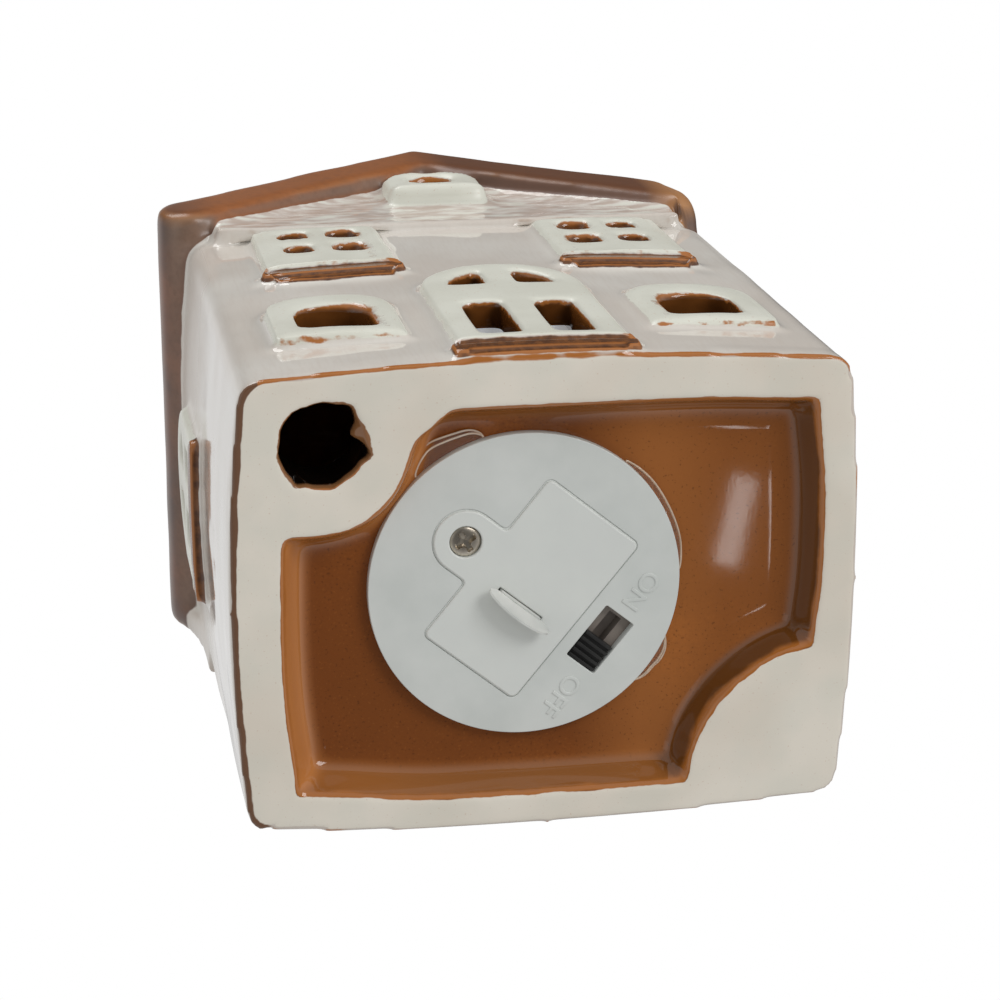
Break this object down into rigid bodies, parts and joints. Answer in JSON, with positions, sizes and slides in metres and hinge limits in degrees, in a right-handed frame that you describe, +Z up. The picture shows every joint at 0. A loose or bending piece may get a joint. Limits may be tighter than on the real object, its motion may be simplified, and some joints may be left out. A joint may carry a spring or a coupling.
{
  "type": "ceramic village house with battery light",
  "caption": "Glazed ceramic gabled house, hollow with open windows, lit from inside by a round battery light module glued into the recess under its base.",
  "frame": {"origin": "centre of the base rectangle, on the plane the rim stands on", "axes": "+Z up along the house, -Y out of the front with the big window, +X to the right of someone who stands behind the house and looks the way it faces"},
  "size_m": [0.0856, 0.0665, 0.115],
  "materials": {
    "glazed_ceramic": "glossy cream glaze, amber brown in the recess and at the edges",
    "clear_glue": "clear hot-melt glue",
    "white_plastic": "satin moulded",
    "plated_steel": "bright nickel plate",
    "clear_film": "translucent film",
    "cell_steel": "satin can",
    "spring_brass": "thin stamped sheet",
    "black_plastic": "satin moulded",
    "board_laminate": "coated laminate",
    "resistor_lacquer": "lacquered",
    "led_epoxy": "milky cast epoxy",
    "red_insulation": "insulation",
    "black_insulation": "insulation",
    "white_insulation": "insulation"
  },
  "bodies": {
    "house": {"house_shell": "glazed_ceramic", "hot_glue": "clear_glue", "module_housing": "white_plastic", "module_cap": "white_plastic", "button_cell_1": "cell_steel", "button_cell_2": "cell_steel", "button_cell_3": "cell_steel", "positive_contact": "spring_brass", "negative_contact": "spring_brass", "switch_body": "black_plastic", "switch_terminals": "plated_steel", "circuit_board": "board_laminate", "resistor": "resistor_lacquer", "led_1": "led_epoxy", "led_2": "led_epoxy", "led_leads_1": "plated_steel", "led_leads_2": "plated_steel", "red_wire": "red_insulation", "black_wire": "black_insulation", "white_wire": "white_insulation"},
    "slider": {"switch_slider": "black_plastic"},
    "cover": {"battery_cover": "white_plastic"},
    "screw": {"cover_screw": "plated_steel"},
    "tab": {"pull_tab": "clear_film"}
  },
  "joints": [
    {"name": "switch_slide", "type": "slide", "parent": "house", "child": "slider", "axis": [0.632, -0.7749, 0], "range_m": [0, 0.004]},
    {"name": "cover_lift", "type": "slide", "parent": "house", "child": "cover", "axis": [0, 0, -1], "range_m": [0, 0.012]},
    {"name": "cover_screw_turn", "type": "hinge", "parent": "cover", "child": "screw", "pos_m": [-0.01003, -0.00658, 0.0036], "axis": [0, 0, 1], "continuous": true},
    {"name": "pull_tab_slide", "type": "slide", "parent": "cover", "child": "tab", "axis": [0, 0, -1], "range_m": [0, 0.016]}
  ]
}
